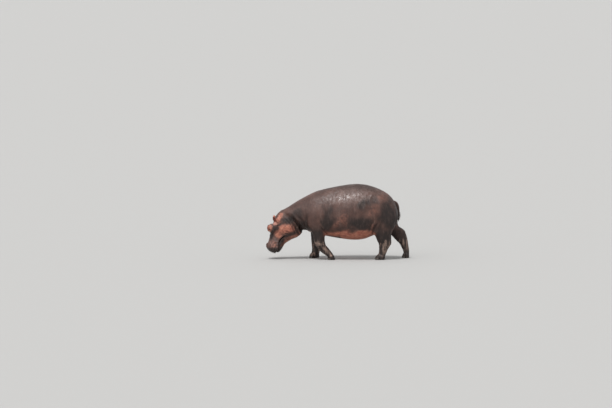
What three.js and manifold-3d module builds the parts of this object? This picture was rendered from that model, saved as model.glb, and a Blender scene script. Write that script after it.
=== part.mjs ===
// A common hippopotamus, a grown animal of a cow's size, walking with its head lowered.
// Millimetres, +Z up. It faces -X, and its left side is at -Y.
// The origin is on the ground, below the middle of its length and of its width.

import * as THREE from "three";
import { mergeVertices } from "three/addons/utils/BufferGeometryUtils.js";
import Module from "manifold-3d";

const wasm = await Module();
wasm.setup();

const GAP = 0.35; // clearance between two neighbouring solids
const LEFT = -1;
const RIGHT = 1;
const SIDES = [["left", LEFT], ["right", RIGHT]];
const degrees = THREE.MathUtils.degToRad;

// ---------- closed meshes and solids ----------

// A closed mesh as a solid for joining and cutting.
function solid(geometry) {
  const bare = geometry.clone();
  bare.deleteAttribute("normal");
  bare.deleteAttribute("uv");
  const merged = mergeVertices(bare, 1e-3);
  return new wasm.Manifold(
    new wasm.Mesh({
      numProp: 3,
      vertProperties: new Float32Array(merged.attributes.position.array),
      triVerts: new Uint32Array(merged.index.array),
    }),
  );
}

function geometryOf(body) {
  const { vertProperties, triVerts } = body.getMesh();
  const geometry = new THREE.BufferGeometry();
  geometry.setAttribute("position", new THREE.BufferAttribute(vertProperties, 3));
  geometry.setIndex(new THREE.BufferAttribute(triVerts, 1));
  geometry.computeVertexNormals();
  return geometry;
}

const union = (bodies) => bodies.reduce((all, one) => all.add(one));

// Everything on the far side of a plane, as a box with one face on it.
function beyond(point, direction) {
  const size = 6000;
  const along = direction.clone().normalize();
  const box = new THREE.BoxGeometry(size, size, size);
  box.applyQuaternion(new THREE.Quaternion().setFromUnitVectors(new THREE.Vector3(0, 0, 1), along));
  box.translate(...point.clone().addScaledVector(along, size / 2));
  return solid(box);
}

// A thin cut: what lies behind the plane and what lies beyond it.
function part(body, point, direction) {
  const along = direction.clone().normalize();
  const next = point.clone().addScaledVector(along, GAP);
  return [body.intersect(beyond(point, along.clone().negate())), body.intersect(beyond(next, along))];
}

// ---------- forms that taper along a line ----------

// A sphere's mesh whose rings are laid along a form: place(t, angle) gives the point at t, from 0 at one
// pole to 1 at the other, and at that angle round the form.
const CROWDING = 0.35; // how much closer together the rings are at the two ends, from 0 to 1
function ringed(sides, rings, place) {
  const mesh = new THREE.SphereGeometry(1, sides, rings);
  const points = mesh.attributes.position;
  for (let ring = 0; ring <= rings; ring++) {
    const even = ring / rings;
    const t = THREE.MathUtils.lerp(even, (1 - Math.cos(Math.PI * even)) / 2, CROWDING);
    for (let side = 0; side <= sides; side++) {
      const angle = (2 * Math.PI * (side % sides)) / sides;
      const atPole = ring === 0 || ring === rings;
      points.setXYZ(ring * (sides + 1) + side, ...place(t, atPole ? 0 : angle));
    }
  }
  return mesh;
}

// Smooth values through the stations of a form, three at a time.
function track(stations, read) {
  const values = stations.map((station) => new THREE.Vector3(...read(station)));
  return new THREE.CatmullRomCurve3(values, false, "catmullrom", 0.5);
}

// A form whose cross-sections each run from a top point to a bottom point [x, z] in the middle plane.
// half is the half width, widest the share of the height at which it lies, and crown and keel how square
// the section is above and below that level, where 2 is an ellipse.
const signedPower = (x, power) => Math.sign(x) * Math.abs(x) ** power;
function carcass(stations, sides, rings) {
  const tops = track(stations, (s) => [s.top[0], 0, s.top[1]]);
  const bottoms = track(stations, (s) => [s.bottom[0], 0, s.bottom[1]]);
  const widths = track(stations, (s) => [s.half, s.widest ?? 0.45, 0]);
  const shapes = track(stations, (s) => [s.crown ?? 2, s.keel ?? 2.2, 0]);
  return ringed(sides, rings, (t, angle) => {
    const [top, bottom] = [tops.getPoint(t), bottoms.getPoint(t)];
    const [half, widest] = widths.getPoint(t).toArray();
    const [crown, keel] = shapes.getPoint(t).toArray();
    const height = top.distanceTo(bottom);
    const rise = height > 1 ? top.clone().sub(bottom).normalize() : new THREE.Vector3();
    const middle = bottom.clone().lerp(top, widest);
    const above = Math.cos(angle) >= 0;
    const power = 2 / (above ? crown : keel);
    const reach = (above ? 1 - widest : widest) * height;
    const point = middle.addScaledVector(rise, reach * signedPower(Math.cos(angle), power));
    point.y -= Math.max(half, 0) * signedPower(Math.sin(angle), power);
    return point;
  });
}

// A limb or a tail in level sections, from the top down: stations are [x, y, z, fore, side], the middle of a
// section, its half length from front to back and its half width.
function limb(stations, sides, rings, grow = 0) {
  const axis = track(stations, (s) => s.slice(0, 3));
  const radii = track(stations, (s) => [s[3], s[4], 0]);
  return ringed(sides, rings, (t, angle) => {
    const [fore, side] = radii.getPoint(t).toArray();
    const open = t > 0 && t < 1 ? 1 : 0;
    const point = axis.getPoint(t);
    point.x -= (Math.max(fore, 0) + grow) * open * Math.cos(angle);
    point.y -= (Math.max(side, 0) + grow) * open * Math.sin(angle);
    return point;
  });
}

function ellipsoid(radii, at, sides, rings, grow = 0) {
  const form = new THREE.SphereGeometry(1, sides, rings);
  form.rotateX(Math.PI / 2);
  form.scale(...radii.map((r) => r + grow));
  return form.translate(...at);
}

// ---------- trunk and neck ----------

const TORSO = [
  { name: "end of the buttocks", top: [1146, 850], bottom: [1146, 850], half: 0 },
  { name: "below the tail root", top: [1128, 1000], bottom: [1112, 695], half: 205, crown: 2.2 },
  { name: "pin bones", top: [1078, 1128], bottom: [1030, 590], half: 318, crown: 2.2 },
  { name: "hips", top: [945, 1266], bottom: [890, 515], half: 400, crown: 2.1 },
  { name: "loin", top: [738, 1373], bottom: [690, 458], half: 458, widest: 0.43 },
  { name: "flank", top: [485, 1444], bottom: [490, 374], half: 500, widest: 0.42, keel: 2.3 },
  { name: "belly", top: [230, 1441], bottom: [250, 366], half: 516, widest: 0.42, keel: 2.4 },
  { name: "ribs", top: [-35, 1397], bottom: [0, 400], half: 500, widest: 0.42, keel: 2.4 },
  { name: "girth", top: [-260, 1350], bottom: [-230, 440], half: 452, widest: 0.43, keel: 2.3 },
  { name: "shoulder", top: [-440, 1300], bottom: [-400, 480], half: 404, keel: 2.3 },
  { name: "breast", top: [-610, 1214], bottom: [-530, 508], half: 350, keel: 2.3 },
  { name: "root of the neck", top: [-740, 1145], bottom: [-612, 548], half: 304, widest: 0.47 },
  { name: "throat", top: [-865, 1068], bottom: [-675, 584], half: 270, widest: 0.5 },
  { name: "nape", top: [-988, 984], bottom: [-750, 665], half: 240, widest: 0.5 },
  { name: "behind the skull", top: [-1064, 922], bottom: [-860, 755], half: 165, widest: 0.5 },
  { name: "end inside the head", top: [-985, 830], bottom: [-985, 830], half: 0 },
];

// ---------- head ----------

// The head hangs from the neck: in its own frame -x runs to the muzzle and +z to the forehead.
const HEAD_AT = new THREE.Vector3(-1000, 0, 800);
const HEAD_DROP = degrees(62); // how far the muzzle points below the horizon
const headFrame = new THREE.Group();
headFrame.position.copy(HEAD_AT);
headFrame.rotation.y = -HEAD_DROP;
headFrame.updateMatrixWorld(true);
const onHead = (geometry) => solid(geometry.clone().applyMatrix4(headFrame.matrixWorld));

const HEAD = [
  { name: "end inside the neck", top: [150, -80], bottom: [150, -80], half: 0 },
  { name: "inside the neck", top: [118, 96], bottom: [100, -230], half: 140 },
  { name: "poll", top: [52, 154], bottom: [40, -345], half: 190, widest: 0.5 },
  { name: "ears", top: [-50, 188], bottom: [-65, -398], half: 210, widest: 0.5 },
  { name: "jaw angle", top: [-150, 178], bottom: [-150, -406], half: 218, widest: 0.48 },
  { name: "cheek", top: [-235, 166], bottom: [-228, -372], half: 208 },
  { name: "eyes", top: [-325, 146], bottom: [-318, -298], half: 174, widest: 0.42, keel: 2.4 },
  { name: "corner of the mouth", top: [-400, 128], bottom: [-395, -246], half: 146, widest: 0.38, keel: 2.5 },
  { name: "bridge of the nose", top: [-465, 111], bottom: [-460, -216], half: 148, widest: 0.36, keel: 2.6 },
  { name: "whisker pads", top: [-540, 87], bottom: [-535, -212], half: 186, widest: 0.38, keel: 2.6 },
  { name: "nostrils", top: [-616, 75], bottom: [-598, -205], half: 206, crown: 2.5, keel: 2.6 },
  { name: "upper lip", top: [-677, 53], bottom: [-648, -180], half: 196, crown: 2.5, keel: 2.5 },
  { name: "front of the lip", top: [-709, 14], bottom: [-692, -130], half: 148, widest: 0.5, crown: 2.4 },
  { name: "end of the muzzle", top: [-717, -58], bottom: [-717, -58], half: 0 },
];
// Paired swellings of the head: their radii and places run along it, across it and up from it.
const SWELLINGS = [
  { name: "brow", radii: [122, 66, 82], at: [-290, 92, 102], sides: 9, rings: 6 },
  { name: "eye socket", radii: [70, 50, 66], at: [-322, 112, 162], sides: 9, rings: 6 },
  { name: "root of the ear", radii: [62, 46, 56], at: [-128, 132, 104], sides: 7, rings: 5 },
  { name: "nostril", radii: [62, 44, 42], at: [-640, 84, 38], sides: 7, rings: 5 },
];
const EYE = { radius: 24, at: [-338, 141, 176] };
// An ear leans back and out from its root, and its cup is turned from the front to the side, in degrees.
const EAR = { length: 150, half: 50, wall: 7, cup: 30, at: [-158, 138, 112], back: 35, out: 27, turn: 38 };

const onSide = ([x, y, z], side) => [x, side * y, z];

function headForm() {
  const forms = [carcass(HEAD, 20, 22)];
  for (const { radii, at, sides, rings } of SWELLINGS) {
    for (const [, side] of SIDES) forms.push(ellipsoid(radii, onSide(at, side), sides, rings));
  }
  return union(forms.map(onHead));
}

// A cupped leaf that stands on its root: t runs from the root to the tip.
function earForm(side, grow = 0) {
  const leaf = ringed(10, 7, (t, angle) => {
    const outline = Math.max(0.01, Math.sin(Math.PI * t ** 0.85)) ** 0.55;
    const open = t > 0 && t < 1 ? 1 : 0;
    const spread = open * (EAR.half * outline + grow) * Math.sin(angle);
    const wall = open * (EAR.wall * Math.min(1, 1.6 * outline) + grow) * Math.cos(angle);
    const curl = (EAR.cup * spread ** 2) / (EAR.half ** 2 * outline);
    return new THREE.Vector3(-wall - curl, spread, (EAR.length + 2 * grow) * t - grow);
  });
  leaf.rotateZ(-side * degrees(EAR.turn));
  leaf.rotateX(-side * degrees(EAR.out));
  return leaf.rotateY(degrees(EAR.back));
}

// ---------- legs ----------

// knee and ankle are the stations where a leg is parted, and slant turns the cut at the knee from level, in
// degrees. A foot has its half length, the reach of its toes and its top, as how far behind its middle the
// foot runs up into the leg, and how high.
const LEGS = {
  foreleg_left: {
    hind: false,
    side: LEFT,
    stations: [
      [-400, -205, 1135, 0, 0],
      [-410, -232, 1045, 110, 80],
      [-430, -262, 900, 165, 122],
      [-440, -280, 740, 170, 128],
      [-386, -284, 570, 140, 118],
      [-364, -277, 405, 112, 93],
      [-360, -271, 325, 104, 86],
      [-325, -265, 256, 104, 80],
      [-250, -258, 172, 110, 73],
      [-180, -252, 100, 84, 70],
      [-140, -250, 58, 58, 58],
      [-120, -250, 25, 0, 0],
    ],
    knee: 5,
    slant: 0,
    ankle: 9,
    foot: { at: [-117, -250], length: 62, reach: 40, top: [-48, 140] },
  },
  foreleg_right: {
    hind: false,
    side: RIGHT,
    stations: [
      [-400, 205, 1135, 0, 0],
      [-410, 232, 1045, 110, 80],
      [-430, 262, 900, 165, 122],
      [-445, 280, 740, 165, 126],
      [-422, 282, 570, 134, 112],
      [-424, 275, 400, 100, 89],
      [-426, 268, 285, 86, 79],
      [-424, 264, 175, 77, 73],
      [-432, 262, 95, 78, 76],
      [-440, 262, 45, 64, 64],
      [-444, 262, 12, 0, 0],
    ],
    knee: 5,
    slant: 0,
    ankle: 8,
    foot: { at: [-448, 262], length: 92, reach: 64, top: [0, 124] },
  },
  hindleg_left: {
    hind: true,
    side: LEFT,
    stations: [
      [960, -185, 1130, 0, 0],
      [945, -208, 1040, 140, 108],
      [925, -240, 900, 205, 146],
      [890, -258, 740, 232, 150],
      [862, -262, 590, 210, 132],
      [850, -256, 428, 146, 102],
      [902, -250, 354, 146, 87],
      [888, -245, 272, 107, 76],
      [858, -242, 170, 77, 70],
      [840, -240, 92, 70, 71],
      [826, -240, 42, 60, 60],
      [818, -240, 12, 0, 0],
    ],
    knee: 5,
    slant: 0,
    ankle: 9,
    foot: { at: [808, -240], length: 94, reach: 64, top: [14, 124] },
  },
  hindleg_right: {
    hind: true,
    side: RIGHT,
    stations: [
      [960, 185, 1130, 0, 0],
      [945, 208, 1040, 140, 108],
      [936, 240, 900, 202, 146],
      [932, 252, 790, 212, 150],
      [945, 252, 690, 204, 142],
      [985, 252, 608, 180, 130],
      [1096, 246, 545, 216, 112],
      [1172, 239, 440, 160, 94],
      [1254, 232, 315, 94, 77],
      [1301, 228, 195, 68, 68],
      [1321, 225, 112, 55, 64],
      [1320, 225, 60, 46, 54],
      [1318, 225, 25, 0, 0],
    ],
    knee: 6,
    slant: 45,
    ankle: 10,
    foot: { at: [1316, 225], length: 60, reach: 38, top: [4, 142] },
  },
};

// The muscle that goes with a leg where the animal is parted: its front and back edges as two points [x, z]
// each, its top, and how far from the middle plane it starts.
const WEDGES = {
  foreleg: { front: [[-628, 470], [-500, 960]], back: [[30, 0], [-330, 960]], top: 945, inner: 150 },
  hindleg: { front: [[622, 440], [800, 1040]], back: null, top: 1010, inner: 95 },
};

const FOOT = {
  width: 98,
  toeHeight: 34, // the level at which a foot is widest
  belowSole: 12, // how much of its round underside the ground cuts off
  toeAngles: [-54, -18, 18, 54],
  toeSpread: 12,
  tip: 46, // from the reach of a toe to its tip
};
const NAIL = { radii: [14, 23, 20], ahead: 35, height: 23 }; // ahead of the reach of its toe
const GROUND = new THREE.Vector3(0, 0, 0);
const UP = new THREE.Vector3(0, 0, 1);
const DOWN = new THREE.Vector3(0, 0, -1);

// Each foot has its own frame on the ground, with its toes towards -x.
function footFrame(foot) {
  const frame = new THREE.Group();
  frame.position.set(foot.at[0], foot.at[1], 0);
  frame.updateMatrixWorld(true);
  return frame;
}

function footForm(foot) {
  const [lean, top] = foot.top;
  const rise = top - FOOT.toeHeight;
  const drop = FOOT.toeHeight + FOOT.belowSole;
  const form = ringed(20, 5, (t, angle) => {
    const turned = angle - 0.4 * Math.sin(angle); // more sides round the toes
    const level = Math.cos(Math.PI * t);
    const toes = FOOT.toeAngles.map((toe) => {
      const off = THREE.MathUtils.euclideanModulo(turned - degrees(toe) + Math.PI, 2 * Math.PI) - Math.PI;
      return Math.exp(-((off / degrees(FOOT.toeSpread)) ** 2));
    });
    const toe = Math.max(...toes) * THREE.MathUtils.smoothstep(-level, -0.75, 0);
    const oval = 1 / Math.hypot(Math.cos(turned) / foot.length, Math.sin(turned) / FOOT.width);
    const radius = THREE.MathUtils.lerp(oval, Math.max(oval, foot.reach + FOOT.tip), toe);
    const girth = radius * Math.sin(Math.PI * t) ** (level > 0 ? 0.9 : 0.5);
    const x = lean * Math.max(level, 0) - girth * Math.cos(turned);
    const z = FOOT.toeHeight + level * (level > 0 ? rise : drop);
    return new THREE.Vector3(x, -girth * Math.sin(turned), z);
  });
  return solid(form.applyMatrix4(footFrame(foot).matrixWorld)).intersect(beyond(GROUND, UP));
}

const nailForm = (grow = 0) => ellipsoid(NAIL.radii, [0, 0, 0], 6, 4, grow);

// The part of the body that goes with a leg, as the space between flat cuts. Growing it makes the gap.
function legRegion(leg, wedge, grow = 0) {
  const edge = ([[x0, z0], [x1, z1]], facing) => {
    const normal = new THREE.Vector3(z1 - z0, 0, x0 - x1).multiplyScalar(facing).normalize();
    return beyond(new THREE.Vector3(x0, 0, z0).addScaledVector(normal, -grow), normal);
  };
  let region = edge(wedge.front, 1).intersect(beyond(new THREE.Vector3(0, 0, wedge.top + grow), DOWN));
  if (wedge.back) region = region.intersect(edge(wedge.back, -1));
  const across = new THREE.Vector3(0, leg.side, 0);
  return region.intersect(beyond(across.clone().multiplyScalar(wedge.inner - grow), across));
}

// ---------- tail ----------

// Level sections, as a leg's are.
const TAIL = [
  [1030, 0, 1132, 0, 0],
  [1062, 0, 1112, 48, 50],
  [1106, 0, 1072, 46, 50],
  [1140, 0, 1004, 33, 45],
  [1162, 0, 908, 24, 38],
  [1162, 0, 824, 19, 31],
  [1152, 0, 756, 14, 22],
  [1147, 0, 728, 0, 0],
];

// ---------- colours ----------

const hide = (colour, roughness = 0.55) =>
  new THREE.MeshStandardMaterial({ color: colour, roughness, metalness: 0 });
const FINISH = {
  back: hide(0x5a4a44, 0.45),
  legs: hide(0x54463f, 0.6),
  head: hide(0x8a6152, 0.55),
  ear: hide(0xa8705e, 0.6),
  eye: hide(0x2a1a12, 0.1),
  nail: hide(0x3a302a, 0.5),
};

// ---------- putting it together ----------

const animal = new THREE.Group();

function addMesh(parent, name, shape, finish) {
  const mesh = new THREE.Mesh(shape instanceof THREE.BufferGeometry ? shape : geometryOf(shape), finish);
  mesh.name = name;
  parent.add(mesh);
  return mesh;
}

// The animal is joined whole first, and then parted with thin cuts.
const limbs = Object.values(LEGS).flatMap((leg) => [solid(limb(leg.stations, 11, 12)), footForm(leg.foot)]);
let rest = union([solid(carcass(TORSO, 24, 26)), headForm(), ...limbs]);

function addFoot(name, leg, form) {
  const frame = footFrame(leg.foot);
  let foot = form;
  FOOT.toeAngles.forEach((angle, i) => {
    const turned = degrees(angle);
    const at = new THREE.Vector3(-leg.foot.reach - NAIL.ahead, 0, NAIL.height).applyAxisAngle(UP, turned);
    const socket = nailForm(GAP).rotateZ(turned).translate(...at).applyMatrix4(frame.matrixWorld);
    foot = foot.subtract(solid(socket));
    const nail = addMesh(frame, `${name}_nail_${i + 1}`, nailForm(), FINISH.nail);
    nail.position.copy(at);
    nail.rotation.z = turned;
  });
  addMesh(animal, `${name}_foot`, foot, FINISH.legs);
  animal.add(frame);
}

for (const [name, leg] of Object.entries(LEGS)) {
  const { wedge, upperName, lowerName } = leg.hind
    ? { wedge: WEDGES.hindleg, upperName: "thigh", lowerName: "shank" }
    : { wedge: WEDGES.foreleg, upperName: "upper_arm", lowerName: "forearm" };
  const whole = rest.intersect(legRegion(leg, wedge));
  rest = rest.subtract(legRegion(leg, wedge, GAP));
  const place = (station) => new THREE.Vector3(...leg.stations[station].slice(0, 3));
  const slanted = new THREE.Vector3(Math.sin(degrees(leg.slant)), 0, -Math.cos(degrees(leg.slant)));
  const [upper, below] = part(whole, place(leg.knee), slanted);
  const [lower, foot] = part(below, place(leg.ankle), DOWN);
  addMesh(animal, `${name}_${upperName}`, upper, FINISH.legs);
  addMesh(animal, `${name}_${lowerName}`, lower, FINISH.legs);
  addFoot(name, leg, foot);
}

// The tail lies against the rump in a shallow groove.
rest = rest.subtract(solid(limb(TAIL, 10, 10, GAP)));
addMesh(animal, "tail", solid(limb(TAIL, 10, 10)), FINISH.back);

// The neck lies between a cut in front of the shoulders and one behind the ears.
const NECK_CUTS = [
  { at: new THREE.Vector3(-650, 0, 850), forward: new THREE.Vector3(-0.96, 0, -0.28) },
  { at: new THREE.Vector3(-828, 0, 790), forward: new THREE.Vector3(-0.77, 0, -0.64) },
];
const [trunk, front] = part(rest, NECK_CUTS[0].at, NECK_CUTS[0].forward);
const [neck, skullAndJaw] = part(front, NECK_CUTS[1].at, NECK_CUTS[1].forward);
addMesh(animal, "trunk", trunk, FINISH.back);
addMesh(animal, "neck", neck, FINISH.back);

// Eyes and ears sit in sockets of their own shape.
const eyeball = (grow = 0) => new THREE.SphereGeometry(EYE.radius + grow, 9, 6);
let skull = skullAndJaw;
for (const [word, side] of SIDES) {
  const eye = addMesh(headFrame, `eye_${word}`, eyeball(), FINISH.eye);
  eye.position.set(...onSide(EYE.at, side));
  skull = skull.subtract(onHead(eyeball(GAP).translate(...onSide(EYE.at, side))));

  const ear = addMesh(headFrame, `ear_${word}`, earForm(side), FINISH.ear);
  ear.position.set(...onSide(EAR.at, side));
  skull = skull.subtract(onHead(earForm(side, 2 * GAP).translate(...onSide(EAR.at, side))));
}

// The lower jaw is what lies below the mouth, a line that rises over the tusks and falls to the chin. The
// line and the two points behind it are in the head's own frame.
const MOUTH = [
  [-770, -152],
  [-700, -146],
  [-640, -160],
  [-570, -150],
  [-500, -114],
  [-430, -104],
  [-360, -126],
  [-300, -150],
];
const JAW_BACK = [[-225, -330], [-240, -500]];
const mouthLine = new THREE.SplineCurve(MOUTH.map(([x, z]) => new THREE.Vector2(x, z)));
function jawRegion(grow) {
  const outline = [...mouthLine.getPoints(13), ...JAW_BACK.map(([x, z]) => new THREE.Vector2(x, z))];
  outline.forEach((point) => point.addScalar(grow));
  outline.push(new THREE.Vector2(MOUTH[0][0] + grow, JAW_BACK[1][1] + grow));
  const slab = new THREE.ExtrudeGeometry(new THREE.Shape(outline), { depth: 600, bevelEnabled: false });
  slab.translate(0, 0, -300);
  return onHead(slab.rotateX(Math.PI / 2));
}
addMesh(animal, "lower_jaw", skull.intersect(jawRegion(0)), FINISH.head);
addMesh(animal, "head", skull.subtract(jawRegion(GAP)), FINISH.head);
animal.add(headFrame);

export default animal;
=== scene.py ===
"""A grown common hippopotamus, walking with its head lowered, as a still life-size museum model.

Metres, +Z up. It faces -X, and its left side is at -Y.
"""

import math

import bmesh
import bpy
import numpy as np
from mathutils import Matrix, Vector
from mathutils.bvhtree import BVHTree


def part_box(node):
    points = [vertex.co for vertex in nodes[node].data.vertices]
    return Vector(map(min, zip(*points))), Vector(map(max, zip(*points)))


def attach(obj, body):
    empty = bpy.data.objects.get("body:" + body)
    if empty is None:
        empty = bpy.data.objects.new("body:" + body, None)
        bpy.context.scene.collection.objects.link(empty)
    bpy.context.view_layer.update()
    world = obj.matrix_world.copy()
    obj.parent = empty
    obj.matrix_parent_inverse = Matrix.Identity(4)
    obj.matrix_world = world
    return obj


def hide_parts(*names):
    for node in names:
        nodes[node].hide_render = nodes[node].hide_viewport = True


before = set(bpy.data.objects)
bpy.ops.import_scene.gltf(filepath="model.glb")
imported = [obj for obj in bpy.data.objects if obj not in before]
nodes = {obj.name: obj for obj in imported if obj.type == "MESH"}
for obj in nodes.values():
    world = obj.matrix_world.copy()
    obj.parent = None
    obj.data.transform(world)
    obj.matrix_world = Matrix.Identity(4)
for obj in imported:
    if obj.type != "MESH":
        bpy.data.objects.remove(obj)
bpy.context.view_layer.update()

# ---------- the studio ----------
# A wide pale floor under an even, pale sky. A broad soft sun stands high on the animal's left, and a weaker,
# broader one lower on the same side. The camera stands far off with a long lens and looks a little down.

VIEW_AT = Vector((-0.6175, 0, 1.054))
VIEW_DISTANCE = 65.0
VIEW_RISE = math.radians(3.5)
VIEW_LENS_MM = 199.0
VIEW_SENSOR_MM = 36
FLOOR_SIZE = 60000  # so that its edge lies at the horizon


def colour(code):
    """A hex colour in sRGB as the linear colour that a shader takes."""
    shares = [int(code[i : i + 2], 16) / 255 for i in (1, 3, 5)]
    return [s / 12.92 if s <= 0.04045 else ((s + 0.055) / 1.055) ** 2.4 for s in shares] + [1.0]


def add(tree, kind, sockets, out=0, **settings):
    """Adds a shader node with its settings. A socket takes a plain value or another node's output."""
    made = tree.nodes.new(kind)
    for name, value in settings.items():
        setattr(made, name, value)
    for name, value in sockets.items():
        if isinstance(value, bpy.types.NodeSocket):
            tree.links.new(value, made.inputs[name])
        else:
            made.inputs[name].default_value = value
    return made.outputs[out]


def material_of(name, **values):
    """A new material and its shader, with the shader's plain values set."""
    material = bpy.data.materials.new(name)
    material.use_nodes = True
    shader = material.node_tree.nodes["Principled BSDF"]
    for socket, value in values.items():
        shader.inputs[socket.replace("_", " ").title().replace("Ior", "IOR")].default_value = value
    return material, material.node_tree, shader


bpy.ops.object.select_all(action="DESELECT")
bpy.ops.object.camera_add(
    location=VIEW_AT + VIEW_DISTANCE * Vector((0, -math.cos(VIEW_RISE), math.sin(VIEW_RISE))),
    rotation=(math.radians(90) - VIEW_RISE, 0, 0),
)
camera = bpy.context.object
camera.data.lens = VIEW_LENS_MM
camera.data.sensor_width = VIEW_SENSOR_MM
camera.data.clip_end = FLOOR_SIZE
bpy.context.scene.camera = camera

bpy.ops.mesh.primitive_plane_add(size=FLOOR_SIZE)
floor = bpy.context.object
floor.name = "floor"
# Matt paint has no gloss, so the floor shows only soft shadows.
painted, tree, shader = material_of("matt floor paint", roughness=0.9)
shader.inputs["Base Color"].default_value = colour("#acaba9")
floor.data.materials.append(painted)

world = bpy.data.worlds.new("even pale sky")
world.use_nodes = True
sky = world.node_tree.nodes["Background"]
sky.inputs["Color"].default_value = colour("#dadbdc")
sky.inputs["Strength"].default_value = 0.95
bpy.context.scene.world = world

# In degrees, each sun is so wide across, leans from straight above towards the animal's left side, and is
# then turned, where a turn below 0 goes towards its head.
SUNS = [
    {"strength": 2.5, "across": 16, "lean": 22, "turn": -25},
    {"strength": 0.7, "across": 60, "lean": 62, "turn": -35},
]
for sun in SUNS:
    lean, turn = math.radians(sun["lean"]), math.radians(sun["turn"])
    bpy.ops.object.light_add(type="SUN", location=(0, 0, 6), rotation=(lean, 0, turn))
    bpy.context.object.data.energy = sun["strength"]
    bpy.context.object.data.angle = math.radians(sun["across"])

# ---------- the hide: one skin over trunk, neck, head, legs, ears and tail ----------
# Bare, thick, damp skin that runs unbroken over the flesh. It starts from the frame's solids of flesh, grown
# a hair so that they touch, which are made one even mesh and relaxed as far as each part's form allows.

LEFT, RIGHT = -1, 1  # the sign of y on either side
GRAIN = 0.021  # side of a face of the even mesh
SHUT = 0.0004  # how far each solid is grown, to close the cuts between them
EASE = {"trunk": 30, "head": 13, "socket": 16, "leg": 9, "foot": 4}  # rounds of relaxing, the socket's on top


def only(obj):
    """Leaves one object selected and active."""
    bpy.ops.object.select_all(action="DESELECT")
    obj.select_set(True)
    bpy.context.view_layer.objects.active = obj


def apply_modifier(obj, kind, **settings):
    """Adds a modifier with its settings, and applies it."""
    modifier = obj.modifiers.new(kind.lower(), kind)
    for name, value in settings.items():
        setattr(modifier, name, value)
    only(obj)
    bpy.ops.object.modifier_apply(modifier=modifier.name)


def read_points(obj):
    co = np.empty(3 * len(obj.data.vertices))
    obj.data.vertices.foreach_get("co", co)
    return co.reshape(-1, 3)


def write_points(obj, co):
    obj.data.vertices.foreach_set("co", co.ravel())
    obj.data.update()


def normals_of(obj):
    normals = np.empty(3 * len(obj.data.vertices))
    obj.data.vertex_normals.foreach_get("vector", normals)
    return normals.reshape(-1, 3)


def push(obj, amount):
    """Moves each point out along its normal."""
    write_points(obj, read_points(obj) + normals_of(obj) * np.asarray(amount)[:, None])


def relax(obj, rounds, pull=0.5):
    """Draws each point towards the middle of its neighbours, as many times as `rounds` says for it."""
    co = read_points(obj)
    edges = np.empty(2 * len(obj.data.edges), int)
    obj.data.edges.foreach_get("vertices", edges)
    a, b = edges.reshape(-1, 2).T
    links = np.bincount(edges, minlength=len(co))
    for done in range(math.ceil(rounds.max())):
        share = pull * np.clip(rounds - done, 0, 1)
        total = [np.bincount(a, co[b, k], len(co)) + np.bincount(b, co[a, k], len(co)) for k in range(3)]
        co = co + share[:, None] * (np.stack(total, 1) / links[:, None] - co)
    write_points(obj, co)


def refine(obj, wanted):
    """Divides the faces whose middles `wanted` picks into four."""
    middles = np.empty(3 * len(obj.data.polygons))
    obj.data.polygons.foreach_get("center", middles)
    only(obj)
    bpy.ops.object.mode_set(mode="EDIT")
    bpy.ops.mesh.select_mode(type="FACE")
    bpy.ops.mesh.select_all(action="DESELECT")
    bpy.ops.object.mode_set(mode="OBJECT")
    obj.data.polygons.foreach_set("select", wanted(middles.reshape(-1, 3)))
    bpy.ops.object.mode_set(mode="EDIT")
    bpy.ops.mesh.subdivide(number_cuts=1)
    bpy.ops.object.mode_set(mode="OBJECT")


def ramp(values, start, end):
    """0 before start, 1 after end, and smooth in between."""
    share = np.clip((values - start) / (end - start), 0, 1)
    return share * share * (3 - 2 * share)


def solid_copy(name, grow=0.0):
    """A copy of one of the frame's solids, its loose triangles merged and its surface moved out."""
    copy = bpy.data.objects.new(name + " copy", nodes[name].data.copy())
    bpy.context.collection.objects.link(copy)
    only(copy)
    bpy.ops.object.mode_set(mode="EDIT")
    bpy.ops.mesh.select_all(action="SELECT")
    bpy.ops.mesh.remove_doubles(threshold=1e-5)
    bpy.ops.object.mode_set(mode="OBJECT")
    push(copy, np.full(len(copy.data.vertices), grow))
    return copy


# The head's own frame: its x runs from the muzzle to the neck and its z up through the forehead.
HEAD_AT = np.array([-1.0, 0.0, 0.8])
HEAD_DROP = math.radians(62)
drop_cos, drop_sin = math.cos(HEAD_DROP), math.sin(HEAD_DROP)
HEAD_AXES = np.array([[drop_cos, 0, drop_sin], [0, 1, 0], [-drop_sin, 0, drop_cos]])
NAPE = {"at": (-0.828, 0, 0.79), "ahead": (-0.77, 0, -0.64)}  # the cut between head and neck


def in_head(co):
    return (co - HEAD_AT) @ HEAD_AXES.T


def from_head(points):
    return HEAD_AT + np.asarray(points, float) @ HEAD_AXES


def head_share(co, blend=0.06):
    """1 on the head, 0 behind the cut at the nape."""
    ahead = (co - NAPE["at"]) @ NAPE["ahead"]
    return ramp(ahead, -blend, blend) * ramp(co[:, 0], -0.60, -0.68)


def leg_share(co):
    """1 on the legs below the elbow and the knee, 0 on the trunk and the head."""
    x, y, z = co.T
    belly = ramp(x, 0.02, 0.09) * ramp(x, 0.64, 0.56)
    return ramp(z, 0.52, 0.38) * (1 - belly) * ramp(np.abs(y), 0.10, 0.15) * ramp(x, -0.68, -0.60)


def nearest(at, places):
    """How far each point is from the nearest of some places."""
    return np.min([np.linalg.norm(at - place, axis=1) for place in places], axis=0)


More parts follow.
